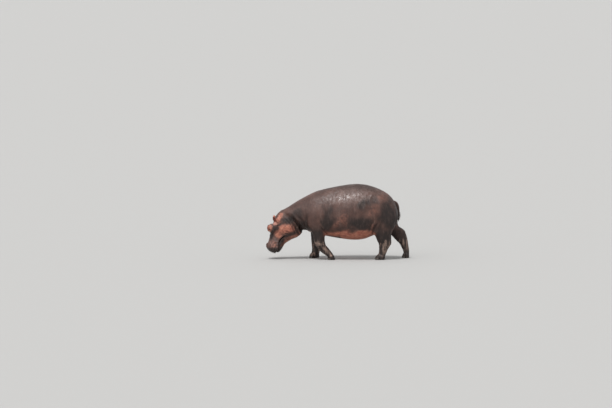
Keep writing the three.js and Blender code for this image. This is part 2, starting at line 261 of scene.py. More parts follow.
EYE = {"at": (-0.338, 0.141, 0.176), "radius": 0.024, "bulge": 0.07}
eyes = [from_head((EYE["at"][0], side * EYE["at"][1], EYE["at"][2])) for side in (LEFT, RIGHT)]
OWN_FORM = ("ear", "tail")  # thin parts that are joined on afterwards
FLESH = [n for n in sorted(nodes) if not n.startswith(OWN_FORM)]  # eyes and nails fill their sockets
copies = [solid_copy(name, SHUT) for name in FLESH]
form = copies[0]
for copy in copies:
    copy.select_set(True)
bpy.context.view_layer.objects.active = form
bpy.ops.object.join()
hide = bpy.data.objects.new("hide", form.data.copy())
bpy.context.collection.objects.link(hide)
apply_modifier(hide, "REMESH", mode="VOXEL", voxel_size=GRAIN)

# The head and the lower legs get finer faces and the toes finer ones still. All are laid on the solids again.
refine(hide, lambda at: (head_share(at) > 0.5) | ((leg_share(at) > 0.5) & (at[:, 2] < 0.37)))
refine(hide, lambda at: at[:, 2] < 0.075)
apply_modifier(hide, "SHRINKWRAP", target=form, wrap_method="NEAREST_SURFACEPOINT")
bpy.data.objects.remove(form)

co = read_points(hide)
head, leg = head_share(co), leg_share(co)
foot = ramp(co[:, 2], 0.17, 0.11)
rounds = EASE["trunk"] + (EASE["head"] - EASE["trunk"]) * head
to_eye = nearest(co, eyes)
rounds = rounds + EASE["socket"] * ramp(to_eye, 0.15, 0.07)
rounds = rounds + (EASE["leg"] - rounds) * leg
rounds = rounds + (EASE["foot"] - rounds) * foot
relax(hide, rounds)

# Relaxing draws rounded parts in, so they are grown back, the mounds that carry the eyes most of all.
REGROWN = {"head": 0.002, "leg": 0.002, "foot": 0.0005, "socket": 0.010}
grown = REGROWN["head"] * head + REGROWN["leg"] * leg * (1 - foot) + REGROWN["foot"] * foot
push(hide, grown + REGROWN["socket"] * ramp(to_eye, 0.14, 0.06))


# The ears and the tail: rounded copies of their solids, joined on and relaxed where they meet the hide.
def join_on(name, root, reach, rounds):
    """Joins a limb to the hide, and relaxes what lies within `reach` of its root."""
    limb = solid_copy(name)
    apply_modifier(limb, "SUBSURF", levels=2, render_levels=2)
    apply_modifier(hide, "BOOLEAN", operation="UNION", solver="MANIFOLD", object=limb)
    bpy.data.objects.remove(limb)
    away = np.linalg.norm(read_points(hide) - root, axis=1)
    relax(hide, rounds * ramp(away, reach, 0.5 * reach))


# The ear's root in the head's frame, its length, half width and depth of cup, and how it leans and turns.
EAR = {"at": (-0.158, 0.138, 0.112), "length": 0.150, "half": 0.050, "cup": 0.030}
EAR_LEAN = {"back": math.radians(35), "out": math.radians(27), "turn": math.radians(38)}
for side, word in ((LEFT, "left"), (RIGHT, "right")):
    ear_root = from_head((EAR["at"][0], side * EAR["at"][1], EAR["at"][2]))
    join_on("ear_" + word, ear_root, 0.060, 5)
TAIL_ROOT = (1.06, 0, 1.11)
join_on("tail", TAIL_ROOT, 0.11, 6)


def clean_seams(obj, apart=0.0004):
    """Merges what lies closer than `apart`, and deletes the faces that this leaves back to back."""
    mesh = bmesh.new()
    mesh.from_mesh(obj.data)
    bmesh.ops.remove_doubles(mesh, verts=mesh.verts, dist=apart)
    bmesh.ops.dissolve_verts(mesh, verts=[vert for vert in mesh.verts if len(vert.link_edges) == 2])
    bmesh.ops.triangulate(mesh, faces=[face for face in mesh.faces if len(face.verts) > 4])
    sharing = {}
    for face in mesh.faces:
        sharing.setdefault(frozenset(vert.index for vert in face.verts), []).append(face)
    doubled = [face for faces in sharing.values() if len(faces) > 1 for face in faces]
    bmesh.ops.delete(mesh, geom=doubled, context="FACES")
    mesh.to_mesh(obj.data)
    mesh.free()


clean_seams(hide)

# ---------- the folds and features of the hide ----------
# Deep folds ring the neck and part the legs from the trunk, fine ripples hang on the flanks, and the head
# carries hooded eyes, slit nostrils with raised rims, whisker pads and a long, drooping lip.

NOSTRIL = (-0.634, 0.080, 0.078)  # in the head's frame
MOUTH = [  # the line between the lips in the head's frame, from the front to the corner
    (-0.770, -0.152),
    (-0.700, -0.146),
    (-0.640, -0.160),
    (-0.570, -0.150),
    (-0.500, -0.114),
    (-0.430, -0.104),
    (-0.360, -0.126),
    (-0.300, -0.150),
]


def curve(knots, step=0.005):
    """Points about `step` apart on a smooth curve through the knots."""
    knots = np.asarray(knots, float)
    ends = np.vstack([2 * knots[0] - knots[1], knots, 2 * knots[-1] - knots[-2]])
    runs = []
    for a, b, c, d in zip(ends, ends[1:], ends[2:], ends[3:]):
        t = np.linspace(0, 1, max(2, round(np.linalg.norm(c - b) / step) + 1))[:-1, None]
        bent = 2 * b + (c - a) * t + (2 * a - 5 * b + 4 * c - d) * t**2 + (3 * b - a - 3 * c + d) * t**3
        runs.append(bent / 2)
    return np.vstack(runs + [knots[-1:]])


WAVES = 14  # how many make up a drift


def drift(at, size, seed):
    """Smooth random values, mostly from -1 to 1, that change over about `size` metres."""
    draw = np.random.default_rng(seed)
    waves = draw.normal(size=(3, WAVES))
    waves *= draw.uniform(0.6, 1.5, WAVES) * 2 * math.pi / size / np.linalg.norm(waves, axis=0)
    return np.sin(at @ waves + draw.uniform(0, 2 * math.pi, WAVES)).sum(1) / math.sqrt(WAVES / 2) * 0.8


def groove(off, width, lips):
    """The profile across a fold: -1 in its bottom, and raised lips beside it."""
    return -np.exp(-((off / width) ** 2)) + lips * np.exp(-(((np.abs(off) - 2.3 * width) / width) ** 2))


def lay(knots, towards):
    """A curve through the knots, cast on the hide along `towards`."""
    towards = Vector(towards)
    hits = [surface.ray_cast(Vector(p) - 1.5 * towards, towards)[0] for p in curve(knots)]
    return np.array([hit for hit in hits if hit])


def press_line(line, width, depth, lips=0.3):
    """How far a fold along a line moves each point of the hide. It fades at both ends."""
    moved = np.zeros(len(co))
    near = np.flatnonzero(((co > line.min(0) - 4 * width) & (co < line.max(0) + 4 * width)).all(1))
    if len(near):
        gaps = np.linalg.norm(co[near, None] - line[None], axis=2)
        along = gaps.argmin(1) / (len(line) - 1)
        fade = np.minimum(ramp(along, -0.02, 0.3), ramp(along, 1.02, 0.7))
        moved[near] = depth * fade * groove(gaps.min(1), width, lips)
    return moved


def side_line(knots, side, width, depth, on_head=False):
    """A fold drawn on one side of the animal, through knots [x, z] of its own or of the head's frame."""
    flat = [from_head((x, 0, z)) if on_head else (x, 0, z) for x, z in knots]
    return press_line(lay(flat, (0, -side, 0)), width, depth)


def fold(amount):
    """Presses a fold into the hide, and keeps how deep it goes, for the shade painted into its bottom."""
    global creases
    push(hide, amount)
    creases = np.maximum(creases, -amount)


def near_mouth(at):
    """Height above the line of the mouth, and 1 along its length."""
    x, y, z = in_head(at).T
    line = curve(MOUTH)
    return z - np.interp(x, line[:, 0], line[:, 1]), ramp(x, -0.290, -0.345) * ramp(z, 0.02, -0.04)


nostrils = [from_head((NOSTRIL[0], side * NOSTRIL[1], NOSTRIL[2])) for side in (LEFT, RIGHT)]

# In the head's frame, where the right eye looks and how its opening lies. The opening's half sizes, how far
# the lids stand out from the eyeball, how much further the upper one does, and how far the hide sinks within.
GAZE = np.array((-0.30, 0.92, 0.22))
LID_LINE = np.array((1.0, 0, 0.12))
LID = {"long": 0.0200, "high": 0.0118, "proud": 0.0030, "hood": 0.0030, "behind": 0.006}


def round_eye(at, side, centre):
    """How far each point lies ahead of the eyeball's middle, how squarely it lies above it, from -1 to 1,
    and how far outside the opening of the lids."""
    gaze = (GAZE * (1, side, 1) / np.linalg.norm(GAZE)) @ HEAD_AXES
    level = LID_LINE @ HEAD_AXES
    level -= gaze * (level @ gaze)
    level /= np.linalg.norm(level)
    rise = np.cross(gaze, level)
    rise *= np.sign(rise @ (np.array((0, 0, 1.0)) @ HEAD_AXES))
    arm = at - centre
    along, up = arm @ level / LID["long"], arm @ rise / LID["high"]
    ring = np.hypot(along, up / (1 - 0.42 * np.clip(along**2, 0, 1)))
    return arm @ gaze, up / ring, (ring - 1) * (LID["long"] + LID["high"]) / 2


def within(at, places, reach):
    """Which points lie near one of some places."""
    return nearest(at, places) < reach


def on_lips(at, reach):
    """Which points lie on either side of the line of the mouth."""
    height, along = near_mouth(at)
    return (np.abs(height) < reach) & (along * head_share(at) > 0.05)


FEET = {  # the middle of each sole
    "foreleg_left": (-0.117, -0.250),
    "foreleg_right": (-0.448, 0.262),
    "hindleg_left": (0.808, -0.240),
    "hindleg_right": (1.316, 0.225),
}
TOES = [-54, -18, 18, 54]  # degrees from straight ahead
CLEFTS = [-78, -36, 0, 36, 78]
NAIL = {"deep": 0.014, "wide": 0.0225, "high": 0.0185}  # half sizes


def set_in_toe(name, angle):
    """The middle of a nail's node, and the cosine and sine of its turn."""
    low, high = (np.array(corner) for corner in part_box(name))
    return (low + high) / 2, math.cos(math.radians(angle)), math.sin(math.radians(angle))


def in_nail(at, name, angle):
    """Points in a nail's own frame, in its half sizes from its middle, with x into the foot."""
    middle, c, s = set_in_toe(name, angle)
    arm = at - middle
    turned = np.column_stack([arm[:, 0] * c + arm[:, 1] * s, arm[:, 1] * c - arm[:, 0] * s, arm[:, 2]])
    return turned / (NAIL["deep"], NAIL["wide"], NAIL["high"])


NAILS = [(f"{leg}_nail_{i}", angle) for leg in FEET for i, angle in enumerate(TOES, 1)]


def at_rims(at):
    """Which points lie where the hide meets a nail."""
    near = np.zeros(len(at), bool)
    for name, angle in NAILS:
        x, y, z = in_nail(at, name, angle).T
        near |= (np.abs(np.hypot(y, z) - 1.05) < 0.28) & (np.abs(x) < 1.5)
    return near


def neck_zone(at):
    """Which points lie where the neck's folds go."""
    x, y, z = at.T
    return (x > -0.92) & (x < -0.55) & (z > 0.50) & (z < 0.92) & (head_share(at) < 0.5)


# Finer faces for the folds, the mouth, the nostrils, the eyes and the nails, evened out once they are there.
refine(hide, neck_zone)
refine(hide, lambda at: within(at, eyes, 0.060) | within(at, nostrils, 0.060) | on_lips(at, 0.024))
refine(hide, lambda at: within(at, eyes, 0.044) | within(at, nostrils, 0.045) | on_lips(at, 0.010))
refine(hide, lambda at: within(at, eyes, 0.033))
refine(hide, at_rims)
for side, centre in zip((LEFT, RIGHT), eyes):
    refine(hide, lambda at: within(at, [centre], 0.05) & (np.abs(round_eye(at, side, centre)[2]) < 0.0035))
co = read_points(hide)
fine = within(co, eyes, 0.07) | within(co, nostrils, 0.07) | on_lips(co, 0.03)
relax(hide, 4.0 * fine)
creases = np.zeros(len(co))

# Swellings of muscle, bone and lip: whether its place is in the head's frame, the place, how far it reaches
# and how high it stands.
SWELLINGS = [
    ("canine lobe", True, (-0.630, 0.200, -0.085), 0.095, 0.014),
    ("front of the lip", True, (-0.710, 0.085, -0.060), 0.090, 0.008),
    ("chin", True, (-0.665, 0.0, -0.215), 0.090, 0.010),
    ("mound of the nostril", True, (-0.640, 0.095, 0.080), 0.070, 0.009),
    ("arch of the cheekbone", True, (-0.225, 0.200, 0.030), 0.110, 0.012),
    ("chewing muscle", True, (-0.120, 0.215, -0.150), 0.160, 0.012),
    ("shoulder", False, (-0.47, 0.39, 0.90), 0.22, 0.014),
    ("elbow", False, (-0.30, 0.36, 0.64), 0.09, 0.012),
    ("point of the hip", False, (0.86, 0.36, 1.13), 0.16, 0.012),
    ("thigh", False, (0.92, 0.37, 0.74), 0.22, 0.012),
    ("knee fold", False, (0.70, 0.34, 0.56), 0.08, 0.014),
    ("buttock", False, (1.13, 0.19, 0.84), 0.20, 0.022),
    ("point of the rump", False, (1.16, 0.13, 1.12), 0.10, 0.010),
    ("ham", False, (1.05, 0.27, 0.66), 0.13, 0.012),
    ("shoulder blade", False, (-0.50, 0.22, 1.15), 0.14, 0.010),
]
for name, on_head, (x, y, z), reach, height in SWELLINGS:
    co = read_points(hide)
    for side in (LEFT, RIGHT) if y else (RIGHT,):
        place = from_head((x, side * y, z)) if on_head else np.array((x, side * y, z))
        away = np.linalg.norm(co - place, axis=1)
        push(hide, height * np.exp(-((away / reach) ** 2) * 2))

# The neck's folds hang from behind the ears and ring the throat. Each is the cut of a bowed surface across
# the neck: how far ahead of the throat it lies, its width and its depth.
NECK_FOLDS = [(0.000, 0.020, 0.024), (0.075, 0.014, 0.015), (-0.085, 0.020, 0.012), (0.135, 0.011, 0.009)]
THROAT = np.array((-0.700, 0.0, 0.565))
FORWARD = np.array((-0.894, 0.0, -0.447))
UPWARD = np.array((-0.447, 0.0, 0.894))
co = read_points(hide)
rise = (co - THROAT) @ UPWARD
ahead = (co - THROAT) @ FORWARD - 0.45 * np.maximum(rise, 0) ** 2 + 0.008 * drift(co, 0.25, 3)
on_neck = ramp(rise, 0.42, 0.12) * ramp(co[:, 0], -0.50, -0.56) * ramp(co[:, 2], 0.47, 0.53)
amount = np.zeros(len(co))
for place, width, depth in NECK_FOLDS:
    amount += depth * on_neck * groove(ahead - place, width, 0.4)
fold(amount * (0.35 + 0.65 * ramp(np.abs(co[:, 1]), 0.03, 0.13)))

# Folds drawn on both sides: knots [x, z], width, depth.
SIDE_FOLDS = [
    ("behind the elbow", [(-0.36, 0.68), (-0.31, 0.60), (-0.25, 0.53), (-0.19, 0.465)], 0.013, 0.018),
    ("in front of the shoulder", [(-0.57, 0.56), (-0.60, 0.66), (-0.61, 0.78), (-0.59, 0.90)], 0.026, 0.012),
    ("behind the shoulder", [(-0.24, 0.62), (-0.22, 0.76), (-0.25, 0.92), (-0.32, 1.06)], 0.030, 0.008),
    ("groin", [(0.655, 0.445), (0.66, 0.54), (0.70, 0.64), (0.77, 0.73)], 0.016, 0.020),
    ("flank web", [(0.60, 0.50), (0.60, 0.60), (0.64, 0.70), (0.71, 0.79)], 0.018, 0.012),
    ("edge of the thigh", [(0.80, 0.52), (0.80, 0.64), (0.85, 0.76)], 0.022, 0.008),
    ("back of the thigh", [(1.08, 0.56), (1.09, 0.68), (1.12, 0.80), (1.13, 0.92)], 0.022, 0.014),
]
HEAD_FOLDS = [
    ("behind the mouth", [(-0.292, -0.105), (-0.262, -0.150), (-0.258, -0.205)], 0.011, 0.012),
    ("second behind the mouth", [(-0.245, -0.100), (-0.222, -0.150), (-0.220, -0.210)], 0.012, 0.008),
    ("behind the canine lobe", [(-0.545, -0.010), (-0.520, -0.060), (-0.505, -0.110)], 0.012, 0.010),
    ("upper pad", [(-0.680, 0.010), (-0.620, 0.012), (-0.555, 0.022), (-0.500, 0.020)], 0.011, 0.006),
    ("middle pad", [(-0.688, -0.045), (-0.630, -0.042), (-0.570, -0.030), (-0.520, -0.030)], 0.011, 0.008),
    ("lower pad", [(-0.680, -0.095), (-0.620, -0.092), (-0.560, -0.078)], 0.010, 0.006),
    ("under the eye", [(-0.400, 0.085), (-0.345, 0.060), (-0.285, 0.075)], 0.012, 0.009),
    ("under the eye, lower", [(-0.400, 0.045), (-0.335, 0.020), (-0.270, 0.035)], 0.012, 0.006),
    ("over the eye", [(-0.385, 0.196), (-0.345, 0.208), (-0.292, 0.196)], 0.007, 0.004),
    ("behind the eye", [(-0.268, 0.185), (-0.254, 0.150), (-0.262, 0.105)], 0.012, 0.009),
    ("second behind the eye", [(-0.236, 0.155), (-0.222, 0.120), (-0.232, 0.080)], 0.010, 0.005),
    ("before the eye", [(-0.405, 0.165), (-0.415, 0.135), (-0.405, 0.100)], 0.009, 0.005),
    ("edge of the jaw", [(-0.190, -0.290), (-0.110, -0.270), (-0.030, -0.220)], 0.016, 0.010),
]
for side in (LEFT, RIGHT):
    surface = BVHTree.FromObject(hide, bpy.context.evaluated_depsgraph_get())
    co = read_points(hide)
    amount = np.zeros(len(co))
    for name, knots, width, depth in SIDE_FOLDS:
        amount += side_line(knots, side, width, depth)
    for name, knots, width, depth in HEAD_FOLDS:
        amount += side_line(knots, side, width, depth, on_head=True)
    fold(amount)

# The whole face is a little lumpy, and most so about the eyes.
co = read_points(hide)
about_eye = np.exp(-((nearest(co, eyes) / 0.085) ** 2))
push(hide, 0.0030 * about_eye * drift(co, 0.055, 12) + 0.0016 * head_share(co) * drift(co, 0.07, 13))

# Over each eye the hide wrinkles along the brow: knots [x, y] in the head's frame, cast down on the face.
BROW_FOLDS = [
    ([(-0.405, 0.085), (-0.365, 0.112), (-0.315, 0.118), (-0.270, 0.100)], 0.007, 0.0045),
    ([(-0.410, 0.060), (-0.370, 0.078), (-0.320, 0.082), (-0.265, 0.065)], 0.010, 0.0050),
    ([(-0.390, 0.128), (-0.350, 0.142), (-0.305, 0.138)], 0.006, 0.0035),
    ([(-0.245, 0.060), (-0.235, 0.100), (-0.250, 0.140)], 0.012, 0.0060),
    ([(-0.440, 0.050), (-0.445, 0.090), (-0.430, 0.125)], 0.012, 0.0050),
]
DOWN_FACE = from_head((0, 0, -1)) - HEAD_AT
surface = BVHTree.FromObject(hide, bpy.context.evaluated_depsgraph_get())
co = read_points(hide)
amount = np.zeros(len(co))
for side in (LEFT, RIGHT):
    for knots, width, depth in BROW_FOLDS:
        line = lay([from_head((x, side * y, 0)) for x, y in knots], DOWN_FACE)
        amount += press_line(line, width, depth, lips=0.6)
fold(amount)

# Behind, a cleft runs down from the tail, a fold lies on either side of the tail, and one under each ham:
# knots [y, z], width, depth.
CLEFT_BEHIND = ([(0, 0.98), (0, 0.86), (0, 0.74), (0, 0.62), (0, 0.52)], 0.020, 0.024)
FOLDS_BEHIND = [
    ([(0.055, 1.17), (0.075, 1.07), (0.085, 0.95), (0.06, 0.83)], 0.016, 0.010),
    ([(0.13, 0.60), (0.20, 0.585), (0.27, 0.61), (0.31, 0.68)], 0.014, 0.009),
]


def line_behind(knots, side, width, depth):
    """A fold drawn on the animal from behind it."""
    return press_line(lay([(2, side * y, z) for y, z in knots], (-1, 0, 0)), width, depth)


surface = BVHTree.FromObject(hide, bpy.context.evaluated_depsgraph_get())
co = read_points(hide)
knots, width, depth = CLEFT_BEHIND
amount = line_behind(knots, RIGHT, width, depth)
for side in (LEFT, RIGHT):
    for knots, width, depth in FOLDS_BEHIND:
        amount += line_behind(knots, side, width, depth)
fold(amount)

# Ripples hang down the flanks, and rings of wrinkles lie round each leg above the foot.
RIPPLE = {"spacing": 0.13, "height": 0.0035}
co = read_points(hide)
x, y, z = co.T
wander = x + 0.05 * drift(co, 0.5, 5) + 0.02 * drift(co, 0.18, 6)
flank = ramp(x, -0.5, -0.2) * ramp(x, 1.0, 0.7) * ramp(z, 0.55, 0.8) * ramp(z, 1.42, 1.25)
ripple = RIPPLE["height"] * flank * np.sin(2 * math.pi * wander / RIPPLE["spacing"])
push(hide, ripple * (0.6 + 0.4 * drift(co, 0.3, 7)))

# Rings: height above the ground, width, depth.
WRIST_RINGS = [(0.322, 0.008, 0.007), (0.279, 0.007, 0.006), (0.236, 0.006, 0.004), (0.150, 0.007, 0.006)]
co = read_points(hide)
level = co[:, 2] + 0.015 * drift(co, 0.12, 8)
firm = leg_share(co) * (1 - 0.5 * ramp(co[:, 0], 0.3, 0.5)) * np.clip(0.5 + 0.6 * drift(co, 0.11, 9), 0, 1.2)
amount = np.zeros(len(co))
for place, width, depth in WRIST_RINGS:
    amount += depth * firm * groove(level - place, width, 0.4)
fold(amount)

# The toes: clefts part them, and the hide sinks where each nail lies in the tip of its toe. Across, a toe and
# a cleft are measured in degrees round the foot.
TOE = {"swell": 0.005, "across": 12}
CLEFT = {"deep": 0.013, "across": 6.5}
NAIL_BED = {"sunk": 0.006, "rim": 0.0028}
co = read_points(hide)
for x, y in FEET.values():
    arm = co - (x, y, 0)
    reach = np.hypot(arm[:, 0], arm[:, 1])
    angle = np.degrees(np.arctan2(-arm[:, 1], -arm[:, 0]))
    at_toe = ramp(arm[:, 2], 0.105, 0.050) * ramp(reach, 0.14, 0.12) * ramp(reach, 0.02, 0.05)
    on_toe = np.max([np.exp(-(((angle - toe) / TOE["across"]) ** 2)) for toe in TOES], axis=0)
    in_cleft = np.max([np.exp(-(((angle - cleft) / CLEFT["across"]) ** 2)) for cleft in CLEFTS], axis=0)
    amount = TOE["swell"] * on_toe
    amount -= CLEFT["deep"] * in_cleft
    co[:, :2] += arm[:, :2] * (at_toe * amount / np.maximum(reach, 0.01))[:, None]
write_points(hide, co)
for name, turn in NAILS:
    co = read_points(hide)
    x, y, z = in_nail(co, name, turn).T
    ring = np.hypot(y, z)
    ahead = ramp(x, 0.6, 0.0) * ramp(np.abs(x), 2.2, 1.8)
    moved = NAIL_BED["sunk"] * ramp(ring, 1.10, 0.94)
    moved -= NAIL_BED["rim"] * np.exp(-(((ring - 1.22) / 0.13) ** 2)) * ramp(z, -0.5, 0.2)
    middle, c, s = set_in_toe(name, turn)
    co[:, :2] += (ahead * moved)[:, None] * (c, s)
    write_points(hide, co)

# The mouth: a deep crease, with the upper lip rolled over it and a low roll below. Each is given by its
# place above the line of the mouth, its width and how high it stands.
LIP_ROLLS = [(0.026, 0.020, 0.011), (-0.022, 0.014, 0.004), (0.0, 0.0065, -0.020)]
co = read_points(hide)
height, along = near_mouth(co)
along = along * head_share(co)
fold(along * sum(high * np.exp(-(((height - above) / width) ** 2)) for above, width, high in LIP_ROLLS))

# The nostrils: slits that slant outwards and back, with raised rims. Knots [x, y] in the head's frame.
SLIT = [(-0.674, 0.066), (-0.657, 0.088), (-0.630, 0.104), (-0.598, 0.108)]
surface = BVHTree.FromObject(hide, bpy.context.evaluated_depsgraph_get())
for side in (LEFT, RIGHT):
    line = lay([from_head((x, side * y, 0)) for x, y in SLIT], DOWN_FACE)
    co = read_points(hide)
    fold(press_line(line, width=0.0095, depth=0.030))

# The eyes: the hide sinks behind each eyeball, and thick lids with rings of wrinkles close round it. Each
# ring is given by how far it lies outside the opening, its width and its depth.
LID_FOLDS = [
    (0.0075, 0.0014, 0.0018),
    (0.0150, 0.0020, 0.0028),
    (0.0245, 0.0026, 0.0034),
    (0.0350, 0.0030, 0.0026),
]
for side, centre in zip((LEFT, RIGHT), eyes):
    co = read_points(hide)
    out, squarely, off = round_eye(co, side, centre)
    away = np.linalg.norm(co - centre, axis=1)
    facing = ramp(out / away, 0.0, 0.3) * ramp(away, 0.080, 0.060)
    # Within the opening the hide lies behind the eyeball, at its edge on the lids, and beyond it falls away.
    inside = EYE["radius"] - LID["behind"]
    edge = EYE["radius"] + LID["proud"] + LID["hood"] * ramp(squarely, 0.0, 0.8)
    wanted = inside + (edge - inside) * ramp(off, -0.0018, 0.0026) - 0.10 * np.maximum(off, 0)
    share = facing * ramp(off, 0.034, 0.005)
    write_points(hide, centre + (co - centre) * ((away + share * (wanted - away)) / away)[:, None])
    wavy = off + 0.0014 * drift(co, 0.045, 10)
    amount = np.zeros(len(co))
    for place, width, depth in LID_FOLDS:
        amount += depth * facing * groove(wavy - place, width, 0.5)
    fold(amount * ramp(np.abs(squarely), 0.20, 0.70) * np.clip(0.85 + 0.35 * drift(co, 0.05, 11), 0, 1.3))

# The soles are flat on the ground.
co = read_points(hide)
write_points(hide, np.column_stack([co[:, :2], np.maximum(co[:, 2], 0)]))

# The hide's finish: living hippopotamus skin, damp, and bare but for its bristles. It is grey-brown with a
# purple tinge on the back, salmon pink where it is thin, on the belly, cheeks, ears and round the eyes, and
# near black on the lips; painted shade darkens the bottoms of its folds. Dried mud lies on the legs, and
# the pale patches there are partly painted sheen of the wet skin. Painted highlights lie on a fold behind
# each cheek and at the root of each ear. The upper flank shines, and a painted reflection of the sky greys
# the wet skin, most of all there. Its tints lie in patches, on both sides unless the name says which: middle
# [x, z], reach along and across, lean in degrees, strength.
PINK = [
    ("cheek", (-1.03, 0.605), (0.19, 0.110), -14, 1.0),
    ("front of the cheek", (-1.145, 0.49), (0.065, 0.11), 10, 0.75),
    ("round the eye", (-1.325, 0.600), (0.055, 0.085), -25, 0.80),
    ("root of the ear", (-1.212, 0.700), (0.045, 0.045), 0, 1.0),
    ("behind the ear", (-1.125, 0.800), (0.042, 0.120), -28, 0.85),
    ("muzzle", (-1.245, 0.285), (0.09, 0.070), 25, 0.34),
    ("chin", (-1.03, 0.315), (0.08, 0.05), 35, 0.45),
    ("under the jaw", (-0.86, 0.400), (0.11, 0.04), 25, 0.50),
    ("mid breast", (-0.53, 0.510), (0.09, 0.05), 0, 0.9),
    ("armpit", (-0.25, 0.50), (0.028, 0.12), 35, 0.85),
    ("lower ribs", (-0.08, 0.60), (0.13, 0.12), 20, 0.36),
    ("middle of the flank", (0.07, 0.77), (0.15, 0.12), -20, 0.30),
    ("hollow of the flank", (0.72, 1.00), (0.14, 0.22), -10, 0.22),
    ("back of the loin", (0.86, 1.17), (0.16, 0.09), 35, 0.26),
    ("fold of the flank", (0.67, 0.66), (0.06, 0.11), 0, 0.36),
    ("inside of the thigh", (1.04, 0.57), (0.05, 0.06), 0, 0.6),
]
DARK = [
    ("side of the neck", (-0.955, 0.750), (0.18, 0.074), 22, 1.0),
    ("top of the cheek", (-1.10, 0.685), (0.13, 0.032), 22, 0.95),
    ("neck", (-0.80, 0.86), (0.16, 0.10), 24, 0.65),
    ("shoulder", (-0.50, 0.93), (0.18, 0.20), 0, 0.28),
    # Painted shade on the left forefoot.
    ("left forefoot", (-0.12, 0.05), (0.07, 0.05), 0, 0.8),
    ("behind the eye", (-1.205, 0.600), (0.076, 0.054), 15, 1.0),
    ("brow", (-1.255, 0.690), (0.030, 0.035), 0, 0.7),
    ("bridge of the nose", (-1.275, 0.475), (0.032, 0.12), -6, 0.95),
    ("corner of the mouth", (-1.10, 0.335), (0.06, 0.085), -20, 0.75),
    ("jaw", (-0.935, 0.475), (0.16, 0.050), 20, 0.75),
    ("throat", (-0.70, 0.64), (0.11, 0.17), 20, 0.9),
    ("under the neck", (-0.60, 0.63), (0.13, 0.08), -15, 0.75),
    ("behind the shoulder", (-0.20, 0.76), (0.12, 0.23), 0, 0.8),
    ("lower flank", (0.40, 0.70), (0.27, 0.15), 0, 0.9),
    ("thigh", (0.97, 0.84), (0.20, 0.34), 12, 1.0),
    ("loin", (0.52, 1.10), (0.20, 0.10), 20, 0.8),
    ("rump", (1.18, 0.92), (0.12, 0.30), 0, 0.85),
]
# Pale patches: dried mud on the legs, partly painted sheen of the wet skin there.
PALE_MUD_AND_SHEEN = [
    ("left wrist", (-0.385, 0.305), (0.10, 0.060), -25, 1.0),
    ("left shin", (-0.225, 0.175), (0.16, 0.045), -40, 1.0),
    ("right toes", (-0.50, 0.075), (0.07, 0.06), 0, 1.0),
    ("left hind shin", (0.91, 0.24), (0.13, 0.22), 0, 0.75),
    ("right hind heel", (1.31, 0.33), (0.04, 0.18), -8, 0.65),
    # A painted highlight on the fold behind the cheek.
    ("behind the cheek", (-0.780, 0.635), (0.026, 0.085), 4, 0.75),
    ("fold of the flank", (0.67, 0.70), (0.06, 0.08), 0, 0.35),
    ("left elbow", (-0.44, 0.52), (0.03, 0.09), 0, 0.35),
]
# Light pink patches; the one at the root of the ear is a painted highlight.
ROSY_AND_HIGHLIGHT = [
    ("root of the ear", (-1.210, 0.692), (0.036, 0.030), 0, 1.0),
    ("behind the ear", (-1.140, 0.790), (0.022, 0.085), -28, 0.5),
    ("muzzle", (-1.290, 0.285), (0.014, 0.06), 10, 0.35),
]
# Wet patches are smoother, and the wettest are also greyed with a painted reflection of the sky.
WET = [
    ("upper flank", (0.19, 1.20), (0.56, 0.16), 4, 1.0),
    ("shoulder", (-0.45, 1.00), (0.22, 0.16), 0, 0.4),
    ("cheek", (-1.02, 0.60), (0.16, 0.12), 0, 0.5),
]


def ears_local(at):
    """For each ear, the points in its own frame, where z runs up the ear, y across it, and the cup opens
    towards -x, how far up the ear each lies, and how wide the leaf is there, as shares of the most."""
    for side in (LEFT, RIGHT):
        local = in_head(at) - (EAR["at"][0], side * EAR["at"][1], EAR["at"][2])
        turns = ((1, -EAR_LEAN["back"]), (0, side * EAR_LEAN["out"]), (2, side * EAR_LEAN["turn"]))
        for axis, angle in turns:
            c, s = math.cos(angle), math.sin(angle)
            i, j = [(1, 2), (2, 0), (0, 1)][axis]
            first, second = local[:, i].copy(), local[:, j].copy()
            local[:, i], local[:, j] = c * first - s * second, s * first + c * second
        share = local[:, 2] / EAR["length"]
        outline = np.maximum(0.01, np.sin(math.pi * np.clip(share, 0, 1) ** 0.85)) ** 0.55
        yield local, share, outline


UNEVEN = 0.034  # how far the outlines of the patches on the trunk wander


def painted_on(patches):
    """How strongly a set of patches, with uneven outlines, lies on each point."""
    uneven = UNEVEN * (1 - 0.75 * np.maximum(on_head, legs))
    x, y, z = co[:, 0] + uneven * drift(co, 0.24, 22), co[:, 1], co[:, 2] + uneven * drift(co, 0.24, 23)
    most = np.zeros(len(co))
    only_on = {"left": y < 0, "right": y > 0, "mid": ramp(np.abs(y), 0.24, 0.16)}
    for name, middle, (along, across), lean, strength in patches:
        c, s = math.cos(math.radians(lean)), math.sin(math.radians(lean))
        dx, dz = x - middle[0], z - middle[1]
        off = np.hypot((dx * c + dz * s) / along, (dz * c - dx * s) / across)
        most = np.maximum(most, strength * ramp(off, 1.65, 0.25) * only_on.get(name.split()[0], 1))
    return most


def keep_mask(name, values):
    """Keeps how strongly a tint lies on each point, from 0 to 1, for the material to read."""
    mask = hide.data.attributes.new(name, "FLOAT", "POINT")
    mask.data.foreach_set("value", np.clip(values, 0, 1))


